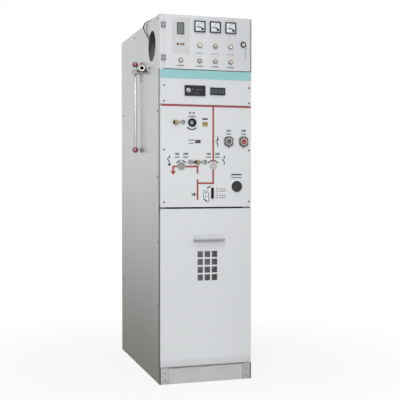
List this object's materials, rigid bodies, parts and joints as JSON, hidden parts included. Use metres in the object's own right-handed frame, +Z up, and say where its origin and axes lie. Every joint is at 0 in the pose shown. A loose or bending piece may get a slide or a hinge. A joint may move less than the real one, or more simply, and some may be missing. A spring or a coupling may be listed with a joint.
{
  "type": "ring main unit",
  "caption": "Free-standing sheet steel ring main unit cubicle: hinged instrument door, mechanism panel with mimic lines and interlocks, lift-off cable cover, side wiring ports, stowed lever",
  "frame": {"origin": "middle of the four floor bolts, on the floor under the base", "axes": "+X to the right when facing the front, +Y to the back, +Z up; the front faces -Y"},
  "size_m": [0.543, 0.986, 1.9277],
  "materials": {
    "galvanised": "galvanised sheet, satin",
    "base_steel": "galvanised base steel, dull",
    "front_paint": "light grey powder coat",
    "hinge_grey": "dark grey enamel",
    "teal_strip": "teal enamel",
    "black_plastic": "black moulded plastic",
    "dial_white": "printed dial card",
    "display_grey": "grey moulding",
    "lamp_ring": "plated ring",
    "lamp_lens": "tinted lens",
    "bright_steel": "turned steel",
    "mimic_red": "red strip",
    "charge_yellow": "yellow flag",
    "disc_grey": "dull grey",
    "pale_bezel": "pale moulding",
    "dark_pane": "dark smoked pane",
    "brass": "turned brass",
    "button_dark": "dark grey cap",
    "button_red": "red cap",
    "lever_chrome": "chrome plate",
    "ball_red": "red phenolic ball",
    "wire_black": "black sheath",
    "mesh_dark": "dark woven mesh"
  },
  "bodies": {
    "cabinet": {"left_side_panel": "galvanised", "right_side_panel": "galvanised", "rear_covers": "galvanised", "roof_panel": "galvanised", "front_posts": "galvanised", "rear_posts": "galvanised", "instrument_floor": "galvanised", "instrument_back": "galvanised", "cable_partition": "galvanised", "floor_plates": "galvanised", "lever_bracket": "galvanised", "plinth_corners": "base_steel", "kick_plate": "base_steel", "rear_base_rail": "base_steel", "side_base_rails": "base_steel", "hinge_stile": "front_paint", "instrument_panel": "front_paint", "mechanism_panel": "front_paint", "hinge_frame_leaves": "hinge_grey", "button_guards": "hinge_grey", "name_strip": "teal_strip", "fault_indicator": "black_plastic", "voltage_indicator": "black_plastic", "charging_socket": "black_plastic", "operation_counter": "black_plastic", "latch_housing": "black_plastic", "fault_knob": "bright_steel", "charging_shaft": "bright_steel", "mimic_lines": "mimic_red", "charge_flag": "charge_yellow", "shaft_discs": "disc_grey", "interlock_backing": "disc_grey", "window_bezel": "pale_bezel", "window_pane": "dark_pane", "lever_rod": "lever_chrome", "lever_tube": "lever_chrome", "lever_balls": "ball_red", "wire_glands": "wire_black", "control_wire": "wire_black"},
    "instrument_door": {"instrument_door": "front_paint", "hinge_door_leaves": "hinge_grey", "meter_cases": "black_plastic", "meter_dials": "dial_white", "lamp_bezels": "lamp_ring", "lamp_lenses": "lamp_lens", "lock_ring": "black_plastic", "door_display": "display_grey"},
    "cable_cover": {"cable_cover": "front_paint", "cover_handle": "front_paint", "vent_mesh": "mesh_dark"},
    "lock_barrel": {"lock_barrel": "bright_steel"},
    "close_button": {"close_button": "button_dark"},
    "open_button": {"open_button": "button_red"},
    "charging_bolt": {"charging_bolt": "brass"},
    "selector_bolt": {"selector_bolt": "brass"},
    "cover_latch": {"cover_latch": "black_plastic"}
  },
  "joints": [
    {"name": "door_swing", "type": "hinge", "parent": "cabinet", "child": "instrument_door", "pos_m": [-0.23, -0.486, 1.7615], "axis": [0, 0, -1], "range_deg": [0, 110]},
    {"name": "lock_turn", "type": "hinge", "parent": "instrument_door", "child": "lock_barrel", "pos_m": [0.202, -0.48, 1.762], "axis": [0, -1, 0], "range_deg": [-90, 0]},
    {"name": "cover_pull", "type": "slide", "parent": "cabinet", "child": "cable_cover", "axis": [0, -1, 0], "range_m": [0, 0.35]},
    {"name": "close_press", "type": "slide", "parent": "cabinet", "child": "close_button", "axis": [0, 1, 0], "range_m": [0, 0.004], "stiffness_N_per_m": 800},
    {"name": "open_press", "type": "slide", "parent": "cabinet", "child": "open_button", "axis": [0, 1, 0], "range_m": [0, 0.004], "stiffness_N_per_m": 800},
    {"name": "charge_interlock_slide", "type": "slide", "parent": "cabinet", "child": "charging_bolt", "axis": [1, 0, 0], "range_m": [0, 0.039]},
    {"name": "switch_interlock_slide", "type": "slide", "parent": "cabinet", "child": "selector_bolt", "axis": [1, 0, 0], "range_m": [-0.04, 0.04]},
    {"name": "cover_latch_slide", "type": "slide", "parent": "cabinet", "child": "cover_latch", "axis": [0, 0, 1], "range_m": [0, 0.038]}
  ]
}
